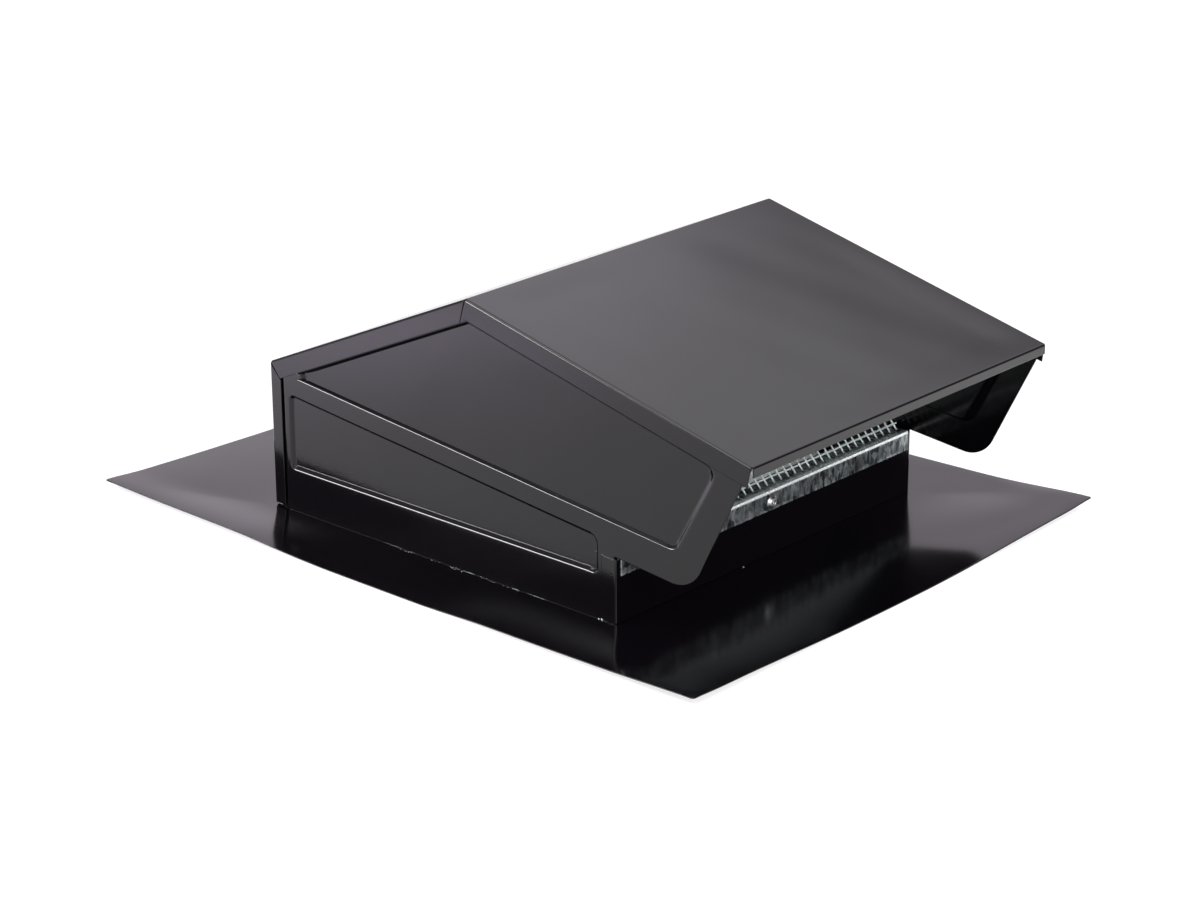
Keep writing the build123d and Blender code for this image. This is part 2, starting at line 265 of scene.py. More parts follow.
# Galvanised sheet that has gone dull indoors: soft grey clouds
dull = {
    "dark": "#8b9192",
    "pale": "#bfc4c4",
    "toneSpan": (0.0, 1.0),
    "metallic": 0.3,
    "roughness": 0.5,
    "cloud": 9.0,
    "cloudDetail": 3.0,
}
dullZinc, tree, shader = newMaterial("dull_galvanised_steel", {
    "Metallic": dull["metallic"],
    "Roughness": dull["roughness"],
})
cloudSets = {"Scale": perMillimetre(dull["cloud"]), "Detail": dull["cloudDetail"]}
clouds = addNode(tree, "ShaderNodeTexNoise", cloudSets, {"Vector": objectPlace(tree)})
tree.links.new(toneRamp(tree, clouds.outputs[0], dull), shader.inputs["Base Color"])

# Zinc-coated wire of the bird screen, a little dull
zincWire, _, _ = newMaterial("screen_wire", {
    "Base Color": srgb("#d0dad8"),
    "Metallic": 0.5,
    "Roughness": 0.45,
})

# Bright drawn steel of the hinge rod and its clips
brightSteel, _, _ = newMaterial("bright_steel", {
    "Base Color": srgb("#c4c4c2"),
    "Metallic": 1.0,
    "Roughness": 0.25,
})

# Aluminium of the blind rivet
rivetAluminium, _, _ = newMaterial("rivet_aluminium", {
    "Base Color": srgb("#a9abad"),
    "Metallic": 1.0,
    "Roughness": 0.36,
})
print("materials made")


# Folded sheets

def roundedLine(corners, radii, step):
    # A bent line in the side view: straight runs joined by arcs. Gives its points and, for each run,
    # the first and last point number of its straight part
    corners = np.asarray(corners, float)
    radii = np.broadcast_to(radii, len(corners) - 2)
    starts, ends, arcs = [corners[0]], [], []
    for before, corner, after, radius in zip(corners[:-2], corners[1:-1], corners[2:], radii):
        inward, outward = unit(corner - before), unit(after - corner)
        turn = math.acos(float(np.clip(inward @ outward, -1, 1)))
        trim = radius * math.tan(turn / 2)
        side = np.sign(inward[0] * outward[1] - inward[1] * outward[0])
        centre = corner - inward * trim + side * radius * np.array([-inward[1], inward[0]])
        angles = np.linspace(0, turn, sheet["bendPoints"])[:, None] * side
        spoke = -side * radius * np.array([-inward[1], inward[0]])
        turned = np.hstack([spoke[0] * np.cos(angles) - spoke[1] * np.sin(angles),
                            spoke[0] * np.sin(angles) + spoke[1] * np.cos(angles)])
        arcs.append(centre + turned)
        ends.append(arcs[-1][0])
        starts.append(arcs[-1][-1])
    ends.append(corners[-1])
    points, runs, count = [], [], 0
    for number, (start, end) in enumerate(zip(starts, ends)):
        length = np.linalg.norm(end - start)
        rim = sheet["rim"] / length
        shares = np.concatenate([[0], np.linspace(rim, 1 - rim, max(2, int(length / step))), [1]])
        points.append(start + (end - start) * shares[:, None])
        runs.append((count, count + len(shares) - 1))
        count += len(shares)
        if number < len(arcs):
            points.append(arcs[number][1:-1])
            count += len(arcs[number]) - 2
    return np.vstack(points), runs


def foldedSheet(settings):
    # A bent line carried across the width, with laps: each lap leaves the edge of one run, goes round a
    # quarter fold about that edge, and ends on a straight line between its two lower corners
    line, runs = roundedLine(settings["line"], settings["radii"], settings["step"])
    fold, rim, foldRows = sheet["foldRadius"], sheet["rim"], sheet["foldRows"]
    edge = settings["halfWidth"] - fold
    across = np.concatenate([[-edge], np.linspace(rim - edge, edge - rim, settings["across"]), [edge]])
    grid = np.arange(len(line) * len(across)).reshape(len(line), len(across))
    y, z = (np.repeat(line[:, axis], len(across)) for axis in (0, 1))
    points = [np.column_stack([np.tile(across, len(line)), y, z])]
    faces = [gridFaces(grid)]
    count = grid.size
    angle = np.linspace(0, math.pi / 2, foldRows + 1)[1:]
    for run, low, depth in settings["laps"]:
        first, last = runs[run]
        top = line[first:last + 1]
        along = (np.linalg.norm(top - top[0], axis=1) / np.linalg.norm(top[-1] - top[0]))[:, None]
        bottom = np.asarray(low[0]) + np.subtract(low[1], low[0]) * along
        flatRows = np.linspace(fold + rim, depth - rim, sheet["lapRows"])
        down = np.concatenate([fold * (1 - np.cos(angle)), flatRows, [depth]])
        standOff = settings["flare"] * (down[foldRows:] - fold) / (depth - fold)
        out = np.concatenate([fold * np.sin(angle), fold + standOff])
        lap = top[:, None, :] + (bottom - top)[:, None, :] * (down / depth)[None, :, None]
        for side, column in ((-1, 0), (1, -1)):
            x = np.broadcast_to(side * (edge + out), lap.shape[:2])
            points.append(np.dstack([x, lap[..., 0], lap[..., 1]]).reshape(-1, 3))
            fresh = np.arange(count, count + x.size).reshape(x.shape)
            whole = np.hstack([grid[first:last + 1, column][:, None], fresh])
            faces.append(gridFaces(whole if side > 0 else whole[:, ::-1]))
            count += x.size
    return np.vstack(points), np.vstack(faces)


rearCorner, ridge, eave = (np.array(sheet[key]) for key in ("rearCorner", "ridge", "eave"))
rearSlope, frontSlope = unit(ridge - rearCorner), unit(eave - ridge)
rearIn, frontIn = np.array([-rearSlope[1], rearSlope[0]]), np.array([-frontSlope[1], frontSlope[0]])
upright = np.array([0.0, 1.0])

# Hood top: foot, rear wall, rear slope, front slope and lip are its runs 0 to 4; its laps go over the sides
hood = {
    "foot": 5.0,
    "lip": 5.6,
    "rearTab": 9.0,
    "tabFoot": 2.1,        # height of the rear tabs' lower end
    "dart": 0.8,           # gap between neighbouring laps
    "mitre": (-1.0, -1.0),
    "flare": 0.3,          # how far the laps stand off at their lower edge
    "halfWidth": sheet["lapX"],
    "radii": sheet["foldRadius"],
    "step": 4.0,
    "across": 90,
    "wave": 0.12,          # height of the sheet's unevenness
    "sink": 1.0,           # the waves lie lower by this share of their height
    "calmSides": 30.0,     # width over which they fade out at the sides
    "calmFolds": 25.0,     # and at the folds
    "ripple": {"seed": 5, "waves": 5, "longest": 190.0, "shortest": 45.0},
}
sideLap = sheet["sideLap"]
lapLine = rearCorner + rearIn * sideLap
dartFoot = crossing(ridge - rearSlope * hood["dart"], frontIn, lapLine, rearSlope)
rearLapEnd = crossing(rearCorner, hood["mitre"], lapLine, rearSlope)
tabY = rearY - hood["rearTab"]
tabTop = rearCorner[1] - hood["dart"] - hood["rearTab"]
hood["line"] = [
    (rearY - hood["foot"], baseZ),
    (rearY, baseZ),
    rearCorner,
    ridge,
    eave,
    (eave[0], eave[1] - hood["lip"]),
]
hood["laps"] = [
    # run, lower corners, depth
    (1, ((tabY, hood["tabFoot"]), (tabY, tabTop)), hood["rearTab"]),
    (2, (rearLapEnd, dartFoot), sideLap),
    (3, (ridge + frontIn * sideLap, eave + frontIn * sideLap), sideLap),
]
points, faces = foldedSheet(hood)
x, y = points[:, 0], points[:, 1]
offSides = ease(sheet["lapX"] - np.abs(x), 0.0, hood["calmSides"])
offRidge = ease(np.abs(y - ridge[0]), 0.0, hood["calmFolds"]) * ease(y, eave[0], hood["calmFolds"])
offRear = ease(rearCorner[0] - y, 0.0, hood["calmFolds"])
dent = hood["wave"] * (ripple(x, y, **hood["ripple"]) - hood["sink"]) * offSides * offRidge * offRear
normal = np.where((y > ridge[0])[:, None], -np.array([0, *rearIn]), -np.array([0, *frontIn]))
hoodTop = makeMesh("hood_sheet", points + normal * dent[:, None], faces, blackEnamel)
thicken(hoodTop, sheet["steel"])
stand(hoodTop, "cap", "black_enamel", "hood_top")
print("hood made")

# Throat front: turned-in top, wall and foot are its runs 0 to 2, with end tabs over the side panels
throat = {
    "height": 39.05,
    "topFlange": 16.0,
    "foot": 5.0,
    "tab": 10.5,
    "tabDrop": 0.4,        # the tabs start this far below the top
    "flare": 0.0,
    "halfWidth": sheet["lapX"],
    "radii": (sheet["foldRadius"], 0.3),
    "step": 3.0,
    "across": 60,
}
throat["line"] = [
    (frontY + throat["topFlange"], throat["height"]),
    (frontY, throat["height"]),
    (frontY, baseZ),
    (frontY + throat["foot"], baseZ),
]
tabEnd = frontY + throat["tab"]
throat["laps"] = [(1, ((tabEnd, throat["height"] - throat["tabDrop"]), (tabEnd, baseZ)), throat["tab"])]
points, faces = foldedSheet(throat)
throatFront = makeMesh("throat_front_sheet", points, faces, blackEnamel)
thicken(throatFront, sheet["steel"])
stand(throatFront, "cap", "black_enamel", "throat_front")
print("throat front made")

# Screen rail: the ledge, a narrow band that leans back, the face below it and its flared lower edge
rail = {
    "half": 127.5,
    "y": -134.05,
    "top": 39.6,
    "crest": 0.4,          # rise of the ledge to its front edge
    "bottom": 27.8,
    "ledge": 15.5,
    "band": 1.7,
    "lean": 0.22,
    "flareOut": 0.13,
    "flareHeight": 1.3,
    "radii": (0.5, 0.3, 0.3),
    "thick": 0.5,
    "step": 1.2,
    "across": 160,
    "wave": 0.02,
    "ripple": {"seed": 17, "waves": 4, "longest": 60.0, "shortest": 12.0},
}
crest = rail["top"] + rail["crest"]
railCorners = [
    (frontY + rail["ledge"], rail["top"]),
    (rail["y"] + rail["lean"], crest),
    (rail["y"], crest - rail["band"]),
    (rail["y"], rail["bottom"] + rail["flareHeight"]),
    (rail["y"] - rail["flareOut"], rail["bottom"]),
]
line, _ = roundedLine(railCorners, rail["radii"], rail["step"])
x, y = np.meshgrid(np.linspace(-rail["half"], rail["half"], rail["across"]), line[:, 0])
z = np.repeat(line[:, 1:], rail["across"], axis=1)
y = y + rail["wave"] * ripple(x, z, **rail["ripple"])
points = np.stack([x, y, z], axis=-1).reshape(-1, 3)
railSheet = makeMesh("rail_sheet", points, gridFaces(np.arange(x.size).reshape(x.shape)), galvanisedSteel)
thicken(railSheet, rail["thick"])
stand(railSheet, "cap", "galvanised_steel", "screen_rail")
print("rail made")

# Side panels: columns of points fan from the slanted front edge to upright ones, and rows follow the edges
# of the pressed-in panels; the depth is a smooth step of the distance from a pressing's outline
panel = {
    "nose": (-185.5, 34.4),
    "noseRadius": 20.0,
    "noseRoot": (-132.85, 39.75),
    "rearEnd": 132.5,
    "footDrop": 0.3,         # the panel reaches this far below the walls' feet
    "inset": 1.4,            # panel's edge inside the hood
    "pressInset": 11.2,      # upper pressing's top edge under the hood
    "pressDepth": 1.8,
    "bandRear": (119.1, 73.2),
    "bandFront": (-120.5, 49.1),
    "bandWidth": 10.4,
    "lowerBottom": 26.0,
    "eavePressY": -203.5,
    "nosePressY": -174.8,
    "corner": 4.0,
    "roundCorner": 7.0,
    "upperRun": (1.5, 2.4),    # width of the sloped step at the lower edge and elsewhere
    "lowerRun": (2.8, 2.4),
    "lowBlend": (4.0, 6.0),    # height at which the first passes into the second, and over what length
    "frontRun": 1.9,           # width of the step at the front edge
    "frontBlend": (2.5, 5.0),  # distance at which it passes into the others, and over what length
    "lapHollow": 1.6,          # depth under the laps, dark in their slits
    "lapReach": (8.0, 4.0),    # how far down it goes, and the length of its slope
    "rearLess": 1.0,           # along the rear edge it is narrower by this
    "tabHollow": 0.9,          # depth under the rear tab
    "tabReach": (10.5, 2.5),
    "wave": 0.16,              # height of the sheet's unevenness
    "sink": 0.6,               # the waves lie lower by this share of their height
    "calmTop": (12.0, 25.0),   # where they begin below the top edge, and over what length they rise
    "calmFoot": (20.0, 20.0),  # and the same above the flange
    "ripple": {"waves": 5, "longest": 150.0, "shortest": 40.0},
    "nosePoints": 26,
    "underNosePoints": 50,
    "columnSteps": (0.55, 1.9, 6.0),   # step near a mark, far from it, and how far near reaches
    "lowerSteps": (0.25, 2.4, 3.0),
    "dense": 3.2,              # width of the close rows beside the edges of a pressing
    "denseMost": 0.4,          # and the most that they take of the space between two edges
    "rimMost": 0.25,           # most that the row beside the foot takes of it
    "least": 0.02,             # least share of a column between two edges
    # rows above an edge, in the middle and below the next edge, from the foot to the top
    "rows": ((0, 8, 14), (0, 24, 0), (16, 16, 16), (8, 5, 2)),
}


def underHood(depth):
    # Rear corner, ridge and eave of the hood's outline moved inwards
    rearLine, frontLine = rearCorner + rearIn * depth, ridge + frontIn * depth
    return (crossing((rearY - depth, 0), upright, rearLine, rearSlope),
            crossing(rearLine, rearSlope, frontLine, frontSlope),
            crossing(frontLine, frontSlope, (eave[0] + depth, 0), upright))


def roundedDistance(y, z, corners, radii):
    # Signed distance to a convex outline with rounded corners, negative inside: an arc counts at each corner
    # and the nearest side elsewhere
    corners = np.asarray(corners, float)
    middle = corners.mean(axis=0)
    normals, offsets = [], []
    for here, after in zip(corners, np.roll(corners, -1, axis=0)):
        along = after - here
        normal = unit([along[1], -along[0]])
        normal = normal if normal @ (middle - here) < 0 else -normal
        normals.append(normal)
        offsets.append(normal @ here)
    sides = np.stack([y * normal[0] + z * normal[1] - offset for normal, offset in zip(normals, offsets)])
    distance = sides.max(axis=0)
    for two, radius in enumerate(radii):
        one = two - 1
        centre = np.linalg.solve(np.array([normals[one], normals[two]]),
                                 np.array([offsets[one] - radius, offsets[two] - radius]))
        pastOne, pastTwo = sides[one] + radius, sides[two] + radius
        cosine = float(normals[one] @ normals[two])
        between = (pastOne > pastTwo * cosine) & (pastTwo > pastOne * cosine)
        inCorner = between & (pastOne > 0) & (pastTwo > 0)
        distance = np.where(inCorner, np.hypot(y - centre[0], z - centre[1]) - radius, distance)
    return distance


def spread(marks, near, far, reach):
    # Places from the first mark to the last: close together near the marks between, wide apart elsewhere
    places = [marks[0]]
    while places[-1] < marks[-1]:
        gap = min(abs(places[-1] - mark) for mark in marks[1:-1])
        places.append(places[-1] + near + (far - near) * float(ease(gap, reach, 2 * reach)))
    places = np.array(places)
    return marks[0] + (places - marks[0]) * (marks[-1] - marks[0]) / (places[-1] - marks[0])


topRear, topRidge, topEave = underHood(panel["inset"])
pressRidge = underHood(panel["pressInset"])[1]
bandRear, bandFront = np.array(panel["bandRear"]), np.array(panel["bandFront"])
bandLine = unit(bandFront - bandRear)
bandHigh = bandRear + upright * panel["bandWidth"]
upperPress = [
    crossing(bandHigh, bandLine, pressRidge, rearSlope),
    pressRidge,
    crossing(pressRidge, frontSlope, (panel["eavePressY"], 0), upright),
    crossing(bandHigh, bandLine, (panel["nosePressY"], 0), upright),
]
lowerPress = [
    bandRear,
    bandFront,
    np.array([bandFront[0], panel["lowerBottom"]]),
    np.array([bandRear[0], panel["lowerBottom"]]),
]

# Foot point and top point of each column, from the nose to the rear
nose, noseRoot = np.array(panel["nose"]), np.array(panel["noseRoot"])
toEave, toRoot = unit(topEave - nose), unit(noseRoot - nose)
turn = math.acos(float(toEave @ toRoot))
trim = panel["noseRadius"] / math.tan(turn / 2)
noseCentre = nose + unit(toEave + toRoot) * panel["noseRadius"] / math.sin(turn / 2)
arcStart, arcEnd = nose + toEave * trim - noseCentre, nose + toRoot * trim - noseCentre
fromAngle, toAngle = (math.atan2(z, y) for y, z in (arcStart, arcEnd))
toAngle += 2 * math.pi if toAngle < fromAngle else 0
arcAngles = np.linspace(fromAngle, toAngle, panel["nosePoints"])
arc = noseCentre + panel["noseRadius"] * np.column_stack([np.cos(arcAngles), np.sin(arcAngles)])
underNose = arc[-1] + (noseRoot - arc[-1]) * np.linspace(0, 1, panel["underNosePoints"])[1:, None]
frontFoot = np.vstack([arc, underNose])
reached = np.concatenate([[0], np.cumsum(np.linalg.norm(np.diff(frontFoot, axis=0), axis=1))])
frontTopY = topEave[0] + (noseRoot[0] - topEave[0]) * reached / reached[-1]
columnMarks = [noseRoot[0], bandFront[0], topRidge[0], bandRear[0], panel["rearEnd"]]
rearColumns = spread(columnMarks, *panel["columnSteps"])[1:]


def belowTop(y, z, slope):
    # Height from a point up to the line of the panel's top edge on one slope
    return topRidge[1] - z + (y - topRidge[0]) * slope[1] / slope[0]


def belowEdge(y, z):
    return np.minimum(belowTop(y, z, frontSlope), belowTop(y, z, rearSlope))


footY = np.concatenate([frontFoot[:, 0], rearColumns])
footZ = np.concatenate([frontFoot[:, 1], np.full(len(rearColumns), noseRoot[1])])
topY = np.concatenate([frontTopY, rearColumns])
topZ = belowEdge(topY, 0.0)
columns = len(footY)
columnLength = np.hypot(topY - footY, topZ - footZ)


def shareAt(point, direction):
    # Share of each column's length at which it crosses a slanted line
    slope = direction[1] / direction[0]
    return (point[1] + slope * (footY - point[0]) - footZ) / (topZ - footZ - slope * (topY - footY))


frontShare, rearShare = shareAt(pressRidge, frontSlope), shareAt(pressRidge, rearSlope)
pressTop = np.where(topY > topRidge[0], rearShare, np.minimum(frontShare, rearShare))
edges = np.stack([
    np.zeros(columns),
    shareAt(bandRear, bandLine),
    shareAt(bandHigh, bandLine),
    pressTop,
    np.ones(columns),
])
for number in (1, 2, 3):
    edges[number] = np.maximum(edges[number], edges[number - 1] + panel["least"])
for number in (3, 2, 1):
    edges[number] = np.minimum(edges[number], edges[number + 1] - panel["least"])


def rowsBetween(low, high, lowRows, middleRows, highRows):
    # Shares of the rows between two edges: close together within a fixed width of an edge, even in between
    near = np.minimum(panel["dense"] / columnLength, panel["denseMost"] * (high - low))
    start = low + near if lowRows else low
    end = high - near if highRows else high
    rows = []
    for first, last, count in ((low, start, lowRows), (start, end, middleRows), (end, high, highRows)):
        rows += [first + (last - first) * share for share in np.linspace(0, 1, count, endpoint=False)]
    return rows


rimShare = np.minimum(sheet["rim"] / columnLength, panel["rimMost"] * edges[1])
rowStarts = [rimShare, *edges[1:-1]]
shares = [edges[0]]
for low, high, counts in zip(rowStarts, edges[1:], panel["rows"]):
    shares += rowsBetween(low, high, *counts)
shares = np.stack([*shares, edges[-1]])
upperY = footY + (topY - footY) * shares
upperZ = footZ + (topZ - footZ) * shares

# The part below the nose's root has upright columns and level rows
lowerMarks = [baseZ - panel["footDrop"], panel["lowerBottom"], noseRoot[1]]
lowerRows = spread(lowerMarks, *panel["lowerSteps"])[:-1]
lowerRows = np.insert(lowerRows, 1, lowerRows[0] + sheet["rim"])
lowerColumns = columns - len(frontFoot) + 1
lowerY = np.broadcast_to(footY[-lowerColumns:], (len(lowerRows), lowerColumns))
lowerZ = np.broadcast_to(lowerRows[:, None], lowerY.shape)
upperGrid = np.arange(upperY.size).reshape(upperY.shape)
lowerGrid = upperY.size + np.arange(lowerY.size).reshape(lowerY.shape)
lowerWhole = np.vstack([lowerGrid, upperGrid[0, -lowerColumns:]])
panelFaces = np.vstack([gridFaces(upperGrid), gridFaces(lowerWhole)])
y = np.concatenate([upperY.ravel(), lowerY.ravel()])
z = np.concatenate([upperZ.ravel(), lowerZ.ravel()])

# Depth of the pressings and of the hollows under the laps
small, large = panel["corner"], panel["roundCorner"]
aboveBand = z - bandHigh[1] - bandLine[1] / bandLine[0] * (y - bandHigh[0])
pressings = [
    # corners, their radii, the front edge's two corners, height above the lower edge, widths of the step
    (upperPress, (small, small, large, large), (2, 3), aboveBand, panel["upperRun"]),
    (lowerPress, (small, large, small, small), (1, 2), z - panel["lowerBottom"], panel["lowerRun"]),
]
depth = np.zeros(len(y))
for corners, radii, (front, foot), height, (lowRun, otherRun) in pressings:
    along = unit(corners[foot] - corners[front])
    fromFront = np.abs((y - corners[front][0]) * along[1] - (z - corners[front][1]) * along[0])
    run = lowRun + (otherRun - lowRun) * ease(height, *panel["lowBlend"])
    run = panel["frontRun"] + (run - panel["frontRun"]) * ease(fromFront, *panel["frontBlend"])
    depth = np.maximum(depth, panel["pressDepth"] * ease(-roundedDistance(y, z, corners, radii) / run))
under = topRear[0] - y + panel["rearLess"]
for slope in (frontSlope, rearSlope):
    under = np.minimum(under, belowTop(y, z, slope) * abs(slope[0]))
lapReach, lapSlope = panel["lapReach"]
depth = depth + panel["lapHollow"] * ease(lapReach - under, 0.0, lapSlope)
tabReach, tabSlope = panel["tabReach"]
depth = np.maximum(depth, panel["tabHollow"] * ease(y - panel["rearEnd"] + tabReach, 0.0, tabSlope))
calm = ease(belowEdge(y, z), *panel["calmTop"]) * ease(z, *panel["calmFoot"])
sides = (("left_side_sheet", "left_side_panel", -1, 11), ("right_side_sheet", "right_side_panel", 1, 12))
for name, replaced, side, seed in sides:
    wave = panel["wave"] * (ripple(y, z, seed, **panel["ripple"]) - panel["sink"]) * calm
    x = side * (sheet["panelX"] - depth - np.maximum(-wave, 0.0))
    piece = makeMesh(name, np.column_stack([x, y, z]), panelFaces[:, ::side], blackEnamel)
    thicken(piece, sheet["steel"], even=False)
    stand(piece, "cap", "black_enamel", replaced)
print("side panels made")

# Roof flange: rings of points from the outer edge to the throat and up its collar; the edges curl up
flange = {
    "half": (180.45, 229.45),
    "corner": 2.0,
    "cornerPoints": 7,
    "throat": ((-123.0, -84.5), (123.0, 118.5)),
    "throatCorner": 0.3,
    "thick": 0.55,
    "clear": 0.05,         # gap under the sheet
    "collarRows": (0.57, 1.05, 3.15, 6.15, 10.0),
    "step": 6.0,           # between points along the edges
    "rings": 24,
    "firstRing": 0.03,     # share of the way from the outer edge to the throat
    "rimRing": 0.006,      # the ring beside the edge
    "curlFrom": (134.0, 137.0),   # the curls begin this far from the middle, in x and in y
    "soften": 36,          # they are smoothed over this length
    "curlReach": 260.0,    # half the length over which they are worked out
    "joinPower": 4,        # joins the curls of two edges at a corner
    # place along an edge and height of the curl there
    "left": [(-230, 3.2), (-180, 2.3), (-125, 1.7), (-78, 1.4), (-40, 0), (39, 0), (63, 0.6), (87, 1.8),
             (110, 3.0), (157, 3.7), (230, 4.5)],
    "right": [(-230, 5.6), (-195, 3.4), (-155, 1.8), (-90, 0.2), (-40, 0), (60, 0), (120, 1.0), (230, 3.6)],
    "front": [(-181, 3.2), (-138, 2.8), (-110, 2.0), (-83, 1.2), (-56, 0.4), (-20, 0), (20, 0), (53, 0.7),
              (80, 2.0), (108, 3.3), (135, 4.4), (162, 5.3), (181, 5.6)],
    "rear": [(-181, 4.2), (-110, 1.6), (-50, 0), (60, 0), (120, 1.4), (181, 3.4)],
}


def curl(edge, places):
    # Height along an edge: straight between its knots, then smoothed by a running window
    fine = np.arange(-flange["curlReach"], flange["curlReach"] + 1)
    heights = np.interp(fine, *np.array(flange[edge], float).T)
    window = np.hanning(flange["soften"])
    return np.interp(places, fine, np.convolve(heights, window / window.sum(), mode="same"))


def rectangle(low, high, radius, counts):
    # Closed line round a rectangle with rounded corners; counts are the steps on its long and short sides
    (x0, y0), (x1, y1) = np.add(low, radius), np.subtract(high, radius)
    bends = []
    for centre, start in (((x1, y0), -90), ((x1, y1), 0), ((x0, y1), 90), ((x0, y0), 180)):
        angle = np.radians(start + np.linspace(0, 90, flange["cornerPoints"]))[:, None]
        bends.append(np.array(centre) + radius * np.hstack([np.cos(angle), np.sin(angle)]))
    line = []
    for number, (bend, after) in enumerate(zip(bends, bends[1:] + bends[:1])):
        shares = np.linspace(0, 1, counts[number % 2] + 1)[1:-1, None]
        line += [bend, bend[-1] + (after[0] - bend[-1]) * shares]
    return np.vstack(line)


halfX, halfY = flange["half"]
counts = (int(2 * halfY / flange["step"]), int(2 * halfX / flange["step"]))
edgeLine = rectangle((-halfX, -halfY), (halfX, halfY), flange["corner"], counts)
throatLine = rectangle(*flange["throat"], flange["throatCorner"], counts)
ringShares = np.concatenate([[0, flange["rimRing"]], np.linspace(flange["firstRing"], 1, flange["rings"])])
flat = edgeLine + (throatLine - edgeLine) * ringShares[:, None, None]
collar = np.repeat(throatLine[None], len(flange["collarRows"]), axis=0)
x, y = np.moveaxis(np.vstack([flat, collar]), -1, 0)
z = np.concatenate([np.full(len(ringShares), flange["thick"]), flange["collarRows"]])[:, None]
fromX, fromY = flange["curlFrom"]
alongSide = np.where(x < 0, curl("left", y), curl("right", y)) * ease(np.abs(x), fromX, halfX - fromX)
alongEnd = np.where(y < 0, curl("front", x), curl("rear", x)) * ease(np.abs(y), fromY, halfY - fromY)
power = flange["joinPower"]
rings = np.stack([x, y, z + (alongSide ** power + alongEnd ** power) ** (1 / power)], axis=-1)
roofFlange = makeMesh("flange_sheet", rings.reshape(-1, 3), ringFaces(*x.shape)[:, ::-1], blackEnamel)
thicken(roofFlange, flange["thick"] - flange["clear"])
stand(roofFlange, "cap", "black_enamel", "roof_flange")
print("flange made")


# Wires and small pieces

def tube(line, radius, sides, along):
    # A round section carried along a line that runs mainly in one direction: each ring is a circle in the
    # plane across that direction, its radius given for each point of the line; closed by a cap of quads
    along = unit(along)
    aside = [0.0, 0.3, 1.0]      # a direction that no wire runs in
    first = unit(np.cross(along, aside))
    second = np.cross(along, first)
    angle = np.linspace(0, 2 * math.pi, sides, endpoint=False)
    circle = first * np.cos(angle)[:, None] + second * np.sin(angle)[:, None]
    rings = line[:, None, :] + circle[None] * np.broadcast_to(radius, len(line))[:, None, None]
    cap = np.array([[i, i + 1, sides - 2 - i, sides - 1 - i] for i in range(sides // 2 - 1)])
    lastRing = (len(line) - 1) * sides
    faces = [ringFaces(len(line), sides)[:, ::-1], cap, (lastRing + cap)[:, ::-1]]
    return rings.reshape(-1, 3), np.vstack(faces)


def joined(parts):
    # Several meshes as one list of points and faces
    starts = np.cumsum([0] + [len(points) for points, _ in parts])
    faces = [faces + start for (_, faces), start in zip(parts, starts)]
    return np.vstack([points for points, _ in parts]), np.vstack(faces)


# Bird screen: two layers of straight wires, each a little uneven, thicker with zinc at the crossings
screen = {
    "pitch": 6.35,
    "radius": 0.53,
    "clearance": 0.3,      # between the screen and the hood
    "footSetback": 5.5,
    "footZ": 39.65,
    "firstCross": 4.2,
    "halfWidth": 127.65,
    "layerGap": 0.02,
    "zinc": 0.14,          # extra radius of the zinc at a crossing
    "zincReach": 0.7,
    "bend": 0.12,          # unevenness of a wire
    "bendWaves": (17.0, 6.1),   # its two waves' lengths, over two pi
    "secondWave": 0.6,     # height of the second, as a share of the first's
    "pointsPerPitch": 5,
    "sides": 8,
    "seed": 21,
}
wire = 2 * screen["radius"]
screenTop = underHood(sheet["steel"] + screen["clearance"] + 2 * wire)[1]
screenFoot = np.array([frontY + screen["footSetback"], screen["footZ"]])
screenLength = float(np.linalg.norm(screenTop - screenFoot))
screenUp = unit(screenTop - screenFoot)
screenOut = np.array([-screenUp[1], screenUp[0]])
layer = screen["radius"] + screen["layerGap"] / 2
uprights = int(2 * screen["halfWidth"] // screen["pitch"])
crosses = int((screenLength - screen["firstCross"]) // screen["pitch"])
rng = np.random.default_rng(screen["seed"])
uprightPlaces = (np.arange(uprights) - (uprights - 1) / 2) * screen["pitch"]
crossPlaces = screen["firstCross"] + np.arange(crosses) * screen["pitch"]


def zincRadius(places, marks):
    # Radius along a wire: a bell curve of the distance to the nearest crossing is added
    nearest = np.abs(places[:, None] - marks[None]).min(axis=1)
    return screen["radius"] + screen["zinc"] * np.exp(-(nearest / screen["zincReach"]) ** 2)


def unevenLine(places, length):
    # Two slow sine waves with random phases, none at the ends
    phase = rng.uniform(0, 2 * math.pi, 2)
    slow, quick = screen["bendWaves"]
    wave = np.sin(places / slow + phase[0]) + screen["secondWave"] * np.sin(places / quick + phase[1])
    return screen["bend"] * wave * np.sin(math.pi * np.clip(places / length, 0, 1)) ** 0.5


wires = []
places = np.linspace(0, screenLength, crosses * screen["pointsPerPitch"] + 1)
radius = zincRadius(places, crossPlaces)
start = screenFoot + screenOut * layer
y, z = (start[axis] + screenUp[axis] * places for axis in (0, 1))
for x in uprightPlaces:
    line = np.column_stack([x + unevenLine(places, screenLength), y, z])
    wires.append(tube(line, radius, screen["sides"], [0, *screenUp]))
halfWidth = screen["halfWidth"]
places = np.linspace(-halfWidth, halfWidth, uprights * screen["pointsPerPitch"] + 1)
radius = zincRadius(places, uprightPlaces)
start = screenFoot - screenOut * layer
for along in crossPlaces:
    up = along + unevenLine(places + halfWidth, 2 * halfWidth)
    line = np.column_stack([places, start[0] + screenUp[0] * up, start[1] + screenUp[1] * up])
    wires.append(tube(line, radius, screen["sides"], [1, 0, 0]))
birdScreen = makeMesh("wire_screen", *joined(wires), zincWire)
stand(birdScreen, "cap", "screen_wire", "bird_screen")
print("screen made")

